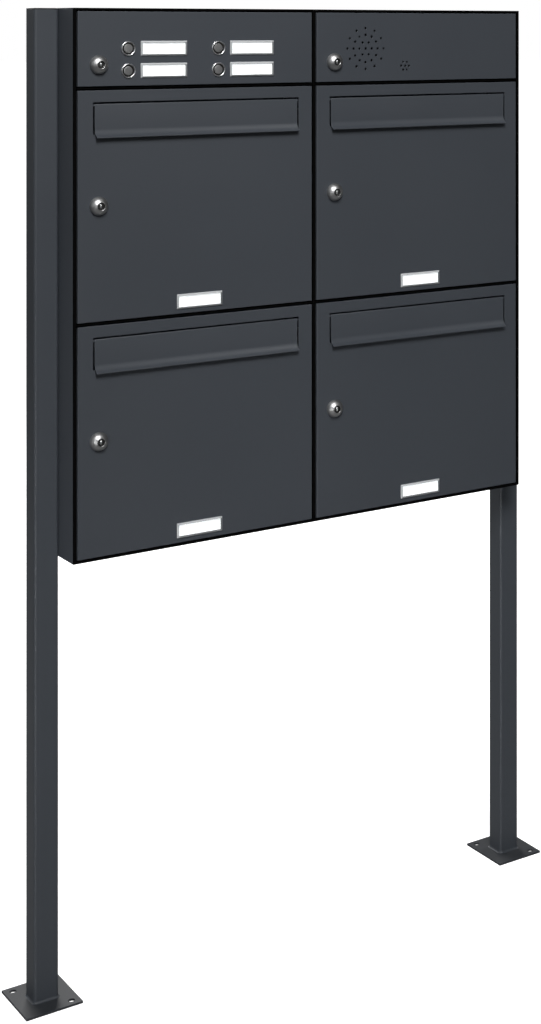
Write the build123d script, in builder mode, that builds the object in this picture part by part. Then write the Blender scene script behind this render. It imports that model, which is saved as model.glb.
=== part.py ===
from build123d import *
import math
import os

# Cluster mailbox unit: two columns of two mailboxes, with a bell panel and an intercom panel above
# them, in one slim casing that hangs between two square posts on base plates.
# Millimetres, +Z up, doors face -Y. The origin is on the ground, midway between the posts and at
# half the casing's depth. "Depth" below means distance behind the plane of the closed doors.

# ---- driving dimensions -------------------------------------------------------------------------

UNIT_HEIGHT = 1400.0  # ground to the top of the casing and of the post caps
MODULE_WIDTH = 370.0  # one mailbox in the grid
MAIL_HEIGHT = 330.0
PANEL_HEIGHT = 111.0  # the bell and intercom row
CASING_DEPTH = 100.0
CASING_BORDER = 2.0  # casing edge outside the grid, all round
SHEET = 1.0  # casing steel
INNER_SHEET = 1.5  # dividing walls

DOOR_SIDE_GAP = 4.0  # grid line to door edge, left and right
DOOR_END_GAP = 2.75  # grid line to door edge, above and below
DOOR_SHEET = 1.5
DOOR_DEPTH = 16.0
DOOR_RETURN = 8.0  # folded lip round the back of a door
DOOR_EDGE_RADIUS = 0.8

FRAME_RECESS = 0.5  # front frame behind the door plane
FRAME_LIP_BACK = 3.0  # depth where the frame steps in behind the casing's front edge
FRAME_FIN = 2.0  # half the width of the fin between two columns of doors
FRAME_RAIL = 1.0  # half the height of the fin between two rows of doors
STOP_FRONT = 17.5
STOP_BACK = 19.5
STOP_OVERLAP = 8.0  # how far the door stop reaches behind each door edge

PIN_RADIUS = 1.75
PIN_PLAY = 0.05
PIN_INSET = 4.0  # hinge axis from the door's right edge, and behind the door plane
PIN_REACH = 5.5  # grid line to pin end, inside a door
PIN_SEAT = 1.5  # pin in the top or bottom rail

SLOT_WIDTH = 318.0
SLOT_HEIGHT = 45.5
SLOT_DROP = 16.5  # door's top edge to the slot
FLAP_GAP = 2.5
FLAP_HEIGHT = 46.5
FLAP_SHEET = 1.5
FLAP_PROUD = 8.5  # how far the grip lip stands out
FLAP_CURVE = 12.5  # radius of the grip lip's front
KNUCKLE_RADIUS = 2.5
FLAP_AXIS_DEPTH = 3.2
ROD_RADIUS = 1.5
CHEEK_DEPTH = 10.5
CHEEK_HEIGHT = 16.0

LOCK_INSET = 30.0  # lock axis from the door's left edge
PANEL_LOCK_DROP = 75.0  # lock axis below the top edge of a bell or intercom panel
DOME_RADIUS = 13.25
DOME_PROUD = 10.0
DOME_FLAT_RADIUS = 6.5
BARREL_RADIUS = 9.5
BARREL_BACK = 18.0
PLUG_RADIUS = 5.0
PLUG_PLAY = 0.05
PLUG_RECESS = 5.5  # plug face in front of the door plane
KEYWAY = (1.4, 6.0, 9.0)  # width, height, depth
CAM_FRONT = 20.0
CAM_THICKNESS = 2.0
CAM_WIDTH = 14.0
CAM_LENGTH = 25.0  # between the centres of its round ends
CAM_SQUARE = 6.0
CAM_SCREW_RADIUS = 1.5

PLATE_WIDTH = 70.0  # name plates
PLATE_HEIGHT = 21.5
PLATE_PROUD = 3.0
PLATE_BEVEL = 2.0
CARD_MARGIN = 3.0
CARD_THICKNESS = 0.6
MAIL_PLATE_RISE = 17.5  # plate centre above a mail door's bottom edge

BELL_COLUMNS = (73.0, 210.0)  # push centres from the panel's left edge
BELL_PLATE_OFFSET = 53.5  # push centre to name plate centre
BELL_ROWS = (52.5, 84.0)  # below the panel's top edge
BEZEL_RADIUS = 10.25
BEZEL_INNER = 8.7
BEZEL_PROUD = 2.2
BEZEL_BARREL = 9.3
BEZEL_BACK = 12.0
PUSH_RADIUS = 6.5
PUSH_PLAY = 0.05
PUSH_PROUD = 1.2
PUSH_TRAVEL = 2.0
BOARD_FRONT = 18.5
BOARD_THICKNESS = 1.6

SPEAKER_AT = (84.0, 55.0)  # right of the panel's left edge, below its top edge
SPEAKER_RING = 10.5  # radius step between the rings of holes
SPEAKER_HOLE = 1.9
SPEAKER_RADIUS = 35.0
MIC_AT = (154.0, 82.5)
MIC_RING = 7.0
MIC_HOLE = 1.8
MIC_RADIUS = 10.0

POST_SIZE = 35.0
POST_WALL = 2.0
POST_CORNER = 4.0
POST_SETBACK = 55.0  # post front behind the door plane
CAP_THICKNESS = 2.0
CAP_PLUG = 12.0
BASE_WIDTH = 80.0
BASE_DEPTH = 100.0
BASE_THICKNESS = 3.0
BASE_HOLE_INSET = 12.0
BASE_HOLE_RADIUS = 4.5

BOLT_RADIUS = 4.0
BOLT_HOLE_RADIUS = 4.25
BOLT_HEAD = (7.0, 4.0)  # radius, height
NUT_FLATS = 13.0
NUT_HEIGHT = 6.5
THREAD_PLAY = 0.05  # nuts and screws stay separate from what they clamp

# ---- derived sizes ------------------------------------------------------------------------------

FRONT = -CASING_DEPTH / 2  # the door plane
CASING_WIDTH = 2 * (MODULE_WIDTH + CASING_BORDER)
CASING_HEIGHT = PANEL_HEIGHT + 2 * MAIL_HEIGHT + 2 * CASING_BORDER
CASING_BOTTOM = UNIT_HEIGHT - CASING_HEIGHT
CASING_MIDDLE = UNIT_HEIGHT - CASING_HEIGHT / 2
GRID_BOTTOM = CASING_BOTTOM + CASING_BORDER
GRID_TOP = UNIT_HEIGHT - CASING_BORDER
ROW_LINES = (GRID_BOTTOM + MAIL_HEIGHT, GRID_BOTTOM + 2 * MAIL_HEIGHT)
INNER_BACK = CASING_DEPTH - SHEET

DOOR_WIDTH = MODULE_WIDTH - 2 * DOOR_SIDE_GAP
POST_X = CASING_WIDTH / 2 + POST_SIZE / 2
POST_Y = FRONT + POST_SETBACK + POST_SIZE / 2

# cells of the grid: column centre, bottom grid line and height
CELLS = {
    "lower_left": (-MODULE_WIDTH / 2, GRID_BOTTOM, MAIL_HEIGHT),
    "lower_right": (MODULE_WIDTH / 2, GRID_BOTTOM, MAIL_HEIGHT),
    "upper_left": (-MODULE_WIDTH / 2, ROW_LINES[0], MAIL_HEIGHT),
    "upper_right": (MODULE_WIDTH / 2, ROW_LINES[0], MAIL_HEIGHT),
    "bell": (-MODULE_WIDTH / 2, ROW_LINES[1], PANEL_HEIGHT),
    "intercom": (MODULE_WIDTH / 2, ROW_LINES[1], PANEL_HEIGHT),
}
MAIL_CELLS = ("upper_left", "upper_right", "lower_left", "lower_right")
BOLT_LEVELS = sorted({bottom + height / 2 for _, bottom, height in CELLS.values()})

# ---- planes and places --------------------------------------------------------------------------


def front_plane(x, z, depth=0.0):
    """Sketch plane seen from the front: sketch x runs right, sketch y runs up, extrusion goes forward."""
    return Plane(origin=(x, FRONT + depth, z), x_dir=(1, 0, 0), z_dir=(0, -1, 0))


def turning_plane(x, z):
    """Half-section plane of a piece turned about the Y axis: sketch x is radius, sketch y is depth."""
    return Plane(origin=(x, FRONT, z), x_dir=(1, 0, 0), z_dir=(0, 0, 1))


def turning_axis(x, z):
    """The axis that goes with turning_plane."""
    return Axis((x, FRONT, z), (0, 1, 0))


def door_edges(cell):
    """Left edge, bottom edge and height of a cell's door."""
    x, bottom, height = CELLS[cell]
    return x - DOOR_WIDTH / 2, bottom + DOOR_END_GAP, height - 2 * DOOR_END_GAP


def on_door(cell, right, down):
    """A point on a door's face, from its top left corner, as (x, z)."""
    left, bottom, height = door_edges(cell)
    return left + right, bottom + height - down


def lock_place(cell):
    """Where a door's lock axis meets the door plane, as (x, z)."""
    height = door_edges(cell)[2]
    is_mailbox = cell in MAIL_CELLS
    return on_door(cell, LOCK_INSET, height / 2 if is_mailbox else PANEL_LOCK_DROP)


def bell_places():
    """Centres of the bell pushes as (x, z), down the left column first."""
    return [on_door("bell", right, down) for right in BELL_COLUMNS for down in BELL_ROWS]


def pin_spans():
    """Lower and upper end of each hinge pin in a column."""
    ends = [(GRID_BOTTOM + FRAME_RAIL - PIN_SEAT, GRID_BOTTOM + PIN_REACH)]
    ends += [(line - PIN_REACH, line + PIN_REACH) for line in ROW_LINES]
    ends += [(GRID_TOP - PIN_REACH, GRID_TOP - FRAME_RAIL + PIN_SEAT)]
    return ends


def hinge_x(column_x):
    """The hinge axis of a column's doors."""
    return column_x + DOOR_WIDTH / 2 - PIN_INSET


def ring_places(step, counts):
    """Points on rings about a centre, one count for each ring, the first on the centre itself."""
    places = []
    for ring, count in enumerate(counts):
        for turn in range(count):
            angle = 2 * math.pi * turn / count
            places.append((step * ring * math.cos(angle), step * ring * math.sin(angle)))
    return places


# ---- posts --------------------------------------------------------------------------------------


def post(side):
    """Square tube with rounded corners, drilled through its inner wall for the casing bolts."""
    with BuildPart() as tube:
        with BuildSketch(Plane.XY.offset(BASE_THICKNESS)):
            with Locations((side * POST_X, POST_Y)):
                RectangleRounded(POST_SIZE, POST_SIZE, POST_CORNER)
                inside = POST_SIZE - 2 * POST_WALL
                RectangleRounded(inside, inside, POST_CORNER - POST_WALL, mode=Mode.SUBTRACT)
        extrude(amount=UNIT_HEIGHT - CAP_THICKNESS - BASE_THICKNESS)
        with BuildSketch(Plane.YZ.offset(side * CASING_WIDTH / 2)):
            with Locations([(POST_Y, z) for z in BOLT_LEVELS]):
                Circle(BOLT_HOLE_RADIUS)
        extrude(amount=side * POST_WALL, mode=Mode.SUBTRACT)
    return tube


def base_plates():
    """The two ground plates, each with two anchor holes on one diagonal."""
    hole_x = BASE_WIDTH / 2 - BASE_HOLE_INSET
    hole_y = BASE_DEPTH / 2 - BASE_HOLE_INSET
    with BuildPart() as plates:
        with BuildSketch(Plane.XY):
            for side in (-1, 1):
                with Locations((side * POST_X, POST_Y)):
                    Rectangle(BASE_WIDTH, BASE_DEPTH)
                corners = [(side * POST_X + hole_x, POST_Y - hole_y), (side * POST_X - hole_x, POST_Y + hole_y)]
                with Locations(corners):
                    Circle(BASE_HOLE_RADIUS, mode=Mode.SUBTRACT)
        extrude(amount=BASE_THICKNESS)
    return plates


def post_caps():
    """Plastic caps that close the tops of the posts, with a plug down inside the tube."""
    inside = POST_SIZE - 2 * POST_WALL
    with BuildPart() as caps:
        with BuildSketch(Plane.XY.offset(UNIT_HEIGHT - CAP_THICKNESS)):
            with Locations((-POST_X, POST_Y), (POST_X, POST_Y)):
                RectangleRounded(POST_SIZE, POST_SIZE, POST_CORNER)
        extrude(amount=CAP_THICKNESS)
        with BuildSketch(Plane.XY.offset(UNIT_HEIGHT - CAP_THICKNESS)):
            with Locations((-POST_X, POST_Y), (POST_X, POST_Y)):
                RectangleRounded(inside, inside, POST_CORNER - POST_WALL)
        extrude(amount=-CAP_PLUG)
    return caps


def post_fixings():
    """Bolts from inside the casing into the posts, each with its nut inside the tube."""
    wall = CASING_WIDTH / 2 - SHEET
    nut_start = CASING_WIDTH / 2 + POST_WALL
    with BuildPart() as fixings:
        for side in (-1, 1):
            places = [(POST_Y, z) for z in BOLT_LEVELS]
            with BuildSketch(Plane.YZ.offset(side * wall)):
                with Locations(places):
                    Circle(BOLT_HEAD[0])
            extrude(amount=-side * BOLT_HEAD[1])
            with BuildSketch(Plane.YZ.offset(side * wall)):
                with Locations(places):
                    Circle(BOLT_RADIUS)
            extrude(amount=side * (nut_start + NUT_HEIGHT + 1 - wall))
            with BuildSketch(Plane.YZ.offset(side * nut_start)):
                with Locations(places):
                    RegularPolygon(NUT_FLATS / 2, 6, major_radius=False)
                    Circle(BOLT_RADIUS + THREAD_PLAY, mode=Mode.SUBTRACT)
            extrude(amount=side * NUT_HEIGHT)
    return fixings


# ---- casing -------------------------------------------------------------------------------------


def side_panel(side):
    """Outer side wall of the casing, drilled for the post bolts."""
    panel_height = CASING_HEIGHT - 2 * SHEET
    panel_depth = CASING_DEPTH - FRAME_LIP_BACK
    with BuildPart() as panel:
        with BuildSketch(Plane.YZ.offset(side * CASING_WIDTH / 2)):
            with Locations((FRONT + FRAME_LIP_BACK + panel_depth / 2, CASING_MIDDLE)):
                Rectangle(panel_depth, panel_height)
            with Locations([(POST_Y, z) for z in BOLT_LEVELS]):
                Circle(BOLT_HOLE_RADIUS, mode=Mode.SUBTRACT)
        extrude(amount=-side * SHEET)
    return panel


def end_panel(level):
    """Roof or floor sheet of the casing, over the ends of the side walls."""
    panel_depth = CASING_DEPTH - FRAME_LIP_BACK
    with BuildPart() as panel:
        with BuildSketch(Plane.XY.offset(level)):
            with Locations((0, FRONT + FRAME_LIP_BACK + panel_depth / 2)):
                Rectangle(CASING_WIDTH, panel_depth)
        extrude(amount=SHEET)
    return panel


def back_panel():
    """Rear tray of the casing, its edges folded forward inside the other walls."""
    width = CASING_WIDTH - 2 * SHEET
    height = CASING_HEIGHT - 2 * SHEET
    fold = 12.0
    with BuildPart() as tray:
        with BuildSketch(front_plane(0, CASING_MIDDLE, CASING_DEPTH)):
            Rectangle(width, height)
        extrude(amount=fold)
        with BuildSketch(front_plane(0, CASING_MIDDLE, INNER_BACK)):
            Rectangle(width - 2 * SHEET, height - 2 * SHEET)
        extrude(amount=fold, mode=Mode.SUBTRACT)
    return tray


def centre_divider():
    """Wall between the two columns."""
    with BuildPart() as divider:
        with BuildSketch(front_plane(0, (GRID_BOTTOM + GRID_TOP) / 2, STOP_BACK)):
            Rectangle(INNER_SHEET, GRID_TOP - GRID_BOTTOM)
        extrude(amount=-(INNER_BACK - STOP_BACK))
    return divider


def shelves():
    """The four floors between one cell and the next below it."""
    width = MODULE_WIDTH - INNER_SHEET / 2
    middle = INNER_SHEET / 2 + width / 2
    with BuildPart() as sheets:
        with BuildSketch(front_plane(0, 0, STOP_BACK)):
            with Locations([(side * middle, line) for side in (-1, 1) for line in ROW_LINES]):
                Rectangle(width, INNER_SHEET)
        extrude(amount=-(INNER_BACK - STOP_BACK))
    return sheets


def front_frame():
    """Black grid round the doors: a thin fin in each gap, and a door stop behind the door edges."""
    fin_openings = {}
    stop_openings = {}
    for name, (x, bottom, height) in CELLS.items():
        place = (x, bottom + height / 2)
        fin_openings[place] = (MODULE_WIDTH - 2 * FRAME_FIN, height - 2 * FRAME_RAIL)
        stop_openings[place] = (DOOR_WIDTH - 2 * STOP_OVERLAP, height - 2 * (DOOR_END_GAP + STOP_OVERLAP))
    with BuildPart() as frame:
        with BuildSketch(front_plane(0, CASING_MIDDLE, FRAME_RECESS)):
            Rectangle(CASING_WIDTH, CASING_HEIGHT)
        extrude(amount=-(FRAME_LIP_BACK - FRAME_RECESS))
        with BuildSketch(front_plane(0, CASING_MIDDLE, FRAME_LIP_BACK)):
            Rectangle(CASING_WIDTH - 2 * SHEET, CASING_HEIGHT - 2 * SHEET)
        extrude(amount=-(STOP_BACK - FRAME_LIP_BACK))
        for openings, depth in ((fin_openings, STOP_FRONT), (stop_openings, STOP_BACK)):
            with BuildSketch(front_plane(0, 0)):
                for place, size in openings.items():
                    with Locations(place):
                        Rectangle(*size)
            extrude(amount=-depth, mode=Mode.SUBTRACT)
        for side in (-1, 1):
            for low, high in pin_spans():
                with Locations((hinge_x(side * MODULE_WIDTH / 2), FRONT + PIN_INSET, (low + high) / 2)):
                    Cylinder(PIN_RADIUS, high - low, mode=Mode.SUBTRACT)
    return frame


def hinge_pins():
    """Short upright pins in the frame's rails; each serves the door below it and the door above."""
    with BuildPart() as pins:
        for side in (-1, 1):
            for low, high in pin_spans():
                with BuildSketch(Plane.XY.offset(low)):
                    with Locations((hinge_x(side * MODULE_WIDTH / 2), FRONT + PIN_INSET)):
                        Circle(PIN_RADIUS)
                extrude(amount=high - low)
    return pins


# ---- doors --------------------------------------------------------------------------------------


def door_pan(cell):
    """Folded sheet door: flat front, four walls, a narrow return behind, hinge and lock holes."""
    left, bottom, height = door_edges(cell)
    x = left + DOOR_WIDTH / 2
    z = bottom + height / 2
    with BuildPart() as pan:
        with BuildSketch(front_plane(x, z)):
            Rectangle(DOOR_WIDTH, height)
        extrude(amount=-DOOR_DEPTH)
        fillet(pan.faces().sort_by(Axis.Y)[0].edges(), DOOR_EDGE_RADIUS)
        with BuildSketch(front_plane(x, z, DOOR_SHEET)):
            Rectangle(DOOR_WIDTH - 2 * DOOR_SHEET, height - 2 * DOOR_SHEET)
        extrude(amount=-(DOOR_DEPTH - 2 * DOOR_SHEET), mode=Mode.SUBTRACT)
        with BuildSketch(front_plane(x, z, DOOR_DEPTH - DOOR_SHEET)):
            Rectangle(DOOR_WIDTH - 2 * DOOR_RETURN, height - 2 * DOOR_RETURN)
        extrude(amount=-DOOR_SHEET, mode=Mode.SUBTRACT)
        with BuildSketch(Plane.XY.offset(bottom)):
            with Locations((hinge_x(x), FRONT + PIN_INSET)):
                Circle(PIN_RADIUS + PIN_PLAY)
        extrude(amount=height, mode=Mode.SUBTRACT)
        with BuildSketch(front_plane(*lock_place(cell))):
            Circle(BARREL_RADIUS)
        extrude(amount=-DOOR_SHEET, mode=Mode.SUBTRACT)
    return pan.part


def mail_door(cell):
    """Mailbox door with its letter slot and the two cheeks that carry the flap's rod."""
    x, slot_top = on_door(cell, DOOR_WIDTH / 2, SLOT_DROP)
    cheek_z = slot_top - CHEEK_HEIGHT / 2
    axis_z = slot_top - FLAP_GAP - KNUCKLE_RADIUS
    pan = door_pan(cell)
    with BuildPart() as door:
        add(pan)
        with BuildSketch(front_plane(x, slot_top - SLOT_HEIGHT / 2)):
            Rectangle(SLOT_WIDTH, SLOT_HEIGHT)
        extrude(amount=-DOOR_SHEET, mode=Mode.SUBTRACT)
        for side in (-1, 1):
            with BuildSketch(Plane.YZ.offset(x + side * SLOT_WIDTH / 2)):
                with Locations((FRONT + DOOR_SHEET + CHEEK_DEPTH / 2, cheek_z)):
                    Rectangle(CHEEK_DEPTH, CHEEK_HEIGHT)
                with Locations((FRONT + FLAP_AXIS_DEPTH, axis_z)):
                    Circle(ROD_RADIUS + PIN_PLAY, mode=Mode.SUBTRACT)
            extrude(amount=side * DOOR_SHEET)
    return door


def mail_flap(cell):
    """Letter flap: flush above, curling outward below into a grip lip, on a rod along its top edge."""
    x, slot_top = on_door(cell, DOOR_WIDTH / 2, SLOT_DROP)
    top = slot_top - FLAP_GAP
    width = SLOT_WIDTH - 2 * FLAP_GAP
    curl = math.degrees(math.acos(1 - FLAP_PROUD / FLAP_CURVE))
    bend = top - FLAP_HEIGHT + FLAP_CURVE * math.sin(math.radians(curl))
    curl_centre = (FRONT - FLAP_CURVE, bend)
    rod_place = (FRONT + FLAP_AXIS_DEPTH, top - KNUCKLE_RADIUS)
    rod_length = SLOT_WIDTH + 4 * DOOR_SHEET
    with BuildPart() as flap:
        with BuildSketch(Plane.YZ.offset(x - width / 2)):
            with BuildLine():
                front = CenterArc(curl_centre, FLAP_CURVE, 0, -curl)
                back = CenterArc(curl_centre, FLAP_CURVE + FLAP_SHEET, 0, -curl)
                Line(front @ 1, back @ 1)
                Polyline(front @ 0, (FRONT, top), (FRONT + FLAP_SHEET, top), back @ 0)
            make_face()
            with Locations(rod_place):
                Circle(KNUCKLE_RADIUS)
        extrude(amount=width)
        with BuildSketch(Plane.YZ.offset(x - rod_length / 2)):
            with Locations(rod_place):
                Circle(ROD_RADIUS)
        extrude(amount=rod_length)
    return flap


def bell_door():
    """Panel door drilled for the four bell pushes."""
    pan = door_pan("bell")
    with BuildPart() as door:
        add(pan)
        with BuildSketch(front_plane(0, 0)):
            with Locations(bell_places()):
                Circle(BEZEL_BARREL)
        extrude(amount=-DOOR_SHEET, mode=Mode.SUBTRACT)
    return door


def intercom_door():
    """Panel door drilled with the sound holes of the speaker and the microphone."""
    pan = door_pan("intercom")
    with BuildPart() as door:
        add(pan)
        with BuildSketch(front_plane(*on_door("intercom", *SPEAKER_AT))):
            with Locations(ring_places(SPEAKER_RING, (1, 6, 12, 12))):
                Circle(SPEAKER_HOLE)
        extrude(amount=-DOOR_SHEET, mode=Mode.SUBTRACT)
        with BuildSketch(front_plane(*on_door("intercom", *MIC_AT))):
            with Locations(ring_places(MIC_RING, (1, 6))):
                Circle(MIC_HOLE)
        extrude(amount=-DOOR_SHEET, mode=Mode.SUBTRACT)
    return door


# ---- locks --------------------------------------------------------------------------------------


def lock_housing(cell):
    """Domed lock body through the door, with the hexagonal nut that clamps it from behind."""
    x, z = lock_place(cell)
    rim = 1.0
    nut_flats = 24.0
    nut_height = 4.0
    bore = PLUG_RADIUS + PLUG_PLAY
    shoulder = (DOME_RADIUS + DOME_FLAT_RADIUS) / 2 + 1.2
    with BuildPart() as housing:
        with BuildSketch(turning_plane(x, z)):
            with BuildLine():
                Polyline((bore, -PLUG_RECESS), (bore, BARREL_BACK), (BARREL_RADIUS, BARREL_BACK),
                         (BARREL_RADIUS, 0), (DOME_RADIUS, 0), (DOME_RADIUS, -rim))
                ThreePointArc((DOME_RADIUS, -rim), (shoulder, -0.75 * DOME_PROUD), (DOME_FLAT_RADIUS, -DOME_PROUD))
                Line((DOME_FLAT_RADIUS, -DOME_PROUD), (bore, -PLUG_RECESS))
            make_face()
        revolve(axis=turning_axis(x, z))
        with BuildSketch(front_plane(x, z, DOOR_SHEET)):
            RegularPolygon(nut_flats / 2, 6, major_radius=False)
            Circle(BARREL_RADIUS + THREAD_PLAY, mode=Mode.SUBTRACT)
        extrude(amount=-nut_height)
    return housing


def lock_plug(cell):
    """Keyed plug that turns in the lock body, with a square tail for the cam."""
    x, z = lock_place(cell)
    collar = PLUG_RADIUS + 1.5
    collar_front = BARREL_BACK + 0.3
    with BuildPart() as plug:
        with BuildSketch(front_plane(x, z, -PLUG_RECESS)):
            Circle(PLUG_RADIUS)
        extrude(amount=-(PLUG_RECESS + collar_front))
        with BuildSketch(front_plane(x, z, collar_front)):
            Circle(collar)
        extrude(amount=-(CAM_FRONT - collar_front))
        with BuildSketch(front_plane(x, z, CAM_FRONT)):
            Rectangle(CAM_SQUARE, CAM_SQUARE)
        extrude(amount=-CAM_THICKNESS)
        with BuildSketch(front_plane(x, z, -PLUG_RECESS)):
            Rectangle(KEYWAY[0], KEYWAY[1])
        extrude(amount=-KEYWAY[2], mode=Mode.SUBTRACT)
        with BuildSketch(front_plane(x, z, CAM_FRONT + CAM_THICKNESS)):
            Circle(CAM_SCREW_RADIUS)
        extrude(amount=2 * CAM_SQUARE, mode=Mode.SUBTRACT)
    return plug


def lock_cam(cell):
    """Flat cam, pointing up when the lock is open, and the screw that holds it on the plug."""
    x, z = lock_place(cell)
    screw_head = (3.6, 2.2)
    with BuildPart() as cam:
        with BuildSketch(front_plane(x, z, CAM_FRONT)):
            with Locations((0, CAM_LENGTH / 2)):
                SlotCenterToCenter(CAM_LENGTH, CAM_WIDTH, rotation=90)
            Rectangle(CAM_SQUARE, CAM_SQUARE, mode=Mode.SUBTRACT)
        extrude(amount=-CAM_THICKNESS)
        head_front = CAM_FRONT + CAM_THICKNESS + THREAD_PLAY
        with BuildSketch(front_plane(x, z, head_front)):
            Circle(screw_head[0])
        extrude(amount=-screw_head[1])
        with BuildSketch(front_plane(x, z, head_front)):
            Circle(CAM_SCREW_RADIUS)
        extrude(amount=2 * CAM_SQUARE - THREAD_PLAY)
    return cam


# ---- name plates --------------------------------------------------------------------------------


def name_covers(places):
    """Clear bevelled covers over the name cards, hollowed behind for the card."""
    with BuildPart() as covers:
        for x, z in places:
            with BuildSketch(front_plane(x, z)):
                Rectangle(PLATE_WIDTH, PLATE_HEIGHT)
            extrude(amount=PLATE_PROUD)
        bevelled = covers.faces().group_by(Axis.Y)[0].edges()
        chamfer(bevelled, PLATE_BEVEL)
        for x, z in places:
            with BuildSketch(front_plane(x, z)):
                Rectangle(PLATE_WIDTH - 2 * CARD_MARGIN, PLATE_HEIGHT - 2 * CARD_MARGIN)
            extrude(amount=CARD_THICKNESS, mode=Mode.SUBTRACT)
    return covers


def name_cards(places):
    """Blank white cards behind the covers."""
    with BuildPart() as cards:
        with BuildSketch(front_plane(0, 0)):
            with Locations(places):
                Rectangle(PLATE_WIDTH - 2 * CARD_MARGIN, PLATE_HEIGHT - 2 * CARD_MARGIN)
        extrude(amount=CARD_THICKNESS)
    return cards


# ---- bell pushes --------------------------------------------------------------------------------


def bell_bezels():
    """Polished rings round the bell pushes, each with a barrel through the panel and a nut behind."""
    bore = PUSH_RADIUS + PUSH_PLAY
    floor = -0.4
    step_back = 4.0
    wide_bore = 8.0
    nut_flats = 22.0
    nut_height = 3.0
    with BuildPart() as bezels:
        for x, z in bell_places():
            with BuildSketch(turning_plane(x, z)):
                with BuildLine():
                    Polyline((bore, floor), (BEZEL_INNER, floor), (BEZEL_INNER, -BEZEL_PROUD),
                             (BEZEL_RADIUS - 0.6, -BEZEL_PROUD), (BEZEL_RADIUS, 0.6 - BEZEL_PROUD),
                             (BEZEL_RADIUS, 0), (BEZEL_BARREL, 0), (BEZEL_BARREL, BEZEL_BACK),
                             (wide_bore, BEZEL_BACK), (wide_bore, step_back), (bore, step_back), close=True)
                make_face()
            revolve(axis=turning_axis(x, z))
            with BuildSketch(front_plane(x, z, DOOR_SHEET)):
                RegularPolygon(nut_flats / 2, 6, major_radius=False)
                Circle(BEZEL_BARREL + THREAD_PLAY, mode=Mode.SUBTRACT)
            extrude(amount=-nut_height)
    return bezels


def bell_push(place):
    """Push cap: a disc that slides in the bezel, a flange that keeps it in, and a stem to the switch."""
    x, z = place
    flange = (7.6, 4.1, 5.5)  # radius, front and back depth
    stem = (2.0, 10.0)  # radius, back depth
    with BuildPart() as cap:
        with BuildSketch(turning_plane(x, z)):
            with BuildLine():
                Polyline((0, -PUSH_PROUD), (PUSH_RADIUS - 0.5, -PUSH_PROUD), (PUSH_RADIUS, 0.5 - PUSH_PROUD),
                         (PUSH_RADIUS, flange[1]), (flange[0], flange[1]), (flange[0], flange[2]),
                         (stem[0], flange[2]), stem, (0, stem[1]), close=True)
            make_face()
        revolve(axis=turning_axis(x, z))
    return cap


def bell_switch_board():
    """Circuit board on two spacers behind the bell panel, with a switch behind each push."""
    board_x, board_z = on_door("bell", sum(BELL_COLUMNS) / 2, sum(BELL_ROWS) / 2)
    board_size = (170.0, 56.0)
    switch_size = 12.0
    switch_gap = 0.5
    spacer_radius = 3.0
    spacer_offset = 48.0
    plunger_front = 10.0 + PUSH_TRAVEL + switch_gap
    with BuildPart() as board:
        with BuildSketch(front_plane(board_x, board_z, BOARD_FRONT)):
            Rectangle(*board_size)
        extrude(amount=-BOARD_THICKNESS)
        with BuildSketch(front_plane(0, 0, BOARD_FRONT)):
            with Locations(bell_places()):
                Rectangle(switch_size, switch_size)
        extrude(amount=BOARD_FRONT - plunger_front)
        with BuildSketch(front_plane(board_x, board_z, BOARD_FRONT)):
            with Locations((-spacer_offset, 0), (spacer_offset, 0)):
                Circle(spacer_radius)
        extrude(amount=BOARD_FRONT - DOOR_SHEET)
    return board


# ---- intercom -----------------------------------------------------------------------------------


def speaker():
    """Loudspeaker behind the sound holes: a flange, a conical basket and a magnet."""
    x, z = on_door("intercom", *SPEAKER_AT)
    flange_back = 4.0
    basket_back = 15.0
    magnet = (17.0, 24.0)  # radius, back depth
    with BuildPart() as driver:
        with BuildSketch(turning_plane(x, z)):
            with BuildLine():
                Polyline((0, 6), (SPEAKER_RADIUS - 4, DOOR_SHEET), (SPEAKER_RADIUS, DOOR_SHEET),
                         (SPEAKER_RADIUS, flange_back), (SPEAKER_RADIUS - 3, flange_back),
                         (magnet[0], basket_back), magnet, (0, magnet[1]), close=True)
            make_face()
        revolve(axis=turning_axis(x, z))
    return driver


def microphone():
    """Microphone capsule in its rubber collar behind the small sound holes."""
    capsule_back = 9.0
    with BuildPart() as capsule:
        with BuildSketch(front_plane(*on_door("intercom", *MIC_AT), DOOR_SHEET)):
            Circle(MIC_RADIUS)
        extrude(amount=-(capsule_back - DOOR_SHEET))
    return capsule


# ---- the assembly -------------------------------------------------------------------------------


def frame_pieces():
    """Everything that stands still."""
    return {
        "left_post": post(-1),
        "right_post": post(1),
        "base_plates": base_plates(),
        "post_caps": post_caps(),
        "post_fixings": post_fixings(),
        "left_side_panel": side_panel(-1),
        "right_side_panel": side_panel(1),
        "roof_panel": end_panel(UNIT_HEIGHT - SHEET),
        "floor_panel": end_panel(CASING_BOTTOM),
        "back_panel": back_panel(),
        "centre_divider": centre_divider(),
        "shelves": shelves(),
        "front_frame": front_frame(),
        "hinge_pins": hinge_pins(),
    }


def lock_pieces(cell):
    """The three lock pieces of one door."""
    return {
        f"{cell}_lock_housing": lock_housing(cell),
        f"{cell}_lock_plug": lock_plug(cell),
        f"{cell}_lock_cam": lock_cam(cell),
    }


def mailbox_pieces(cell):
    """One mailbox door with all that it carries."""
    plate = [on_door(cell, DOOR_WIDTH / 2, door_edges(cell)[2] - MAIL_PLATE_RISE)]
    return {
        f"{cell}_door": mail_door(cell),
        f"{cell}_flap": mail_flap(cell),
        f"{cell}_name_cover": name_covers(plate),
        f"{cell}_name_card": name_cards(plate),
        **lock_pieces(cell),
    }


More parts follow.
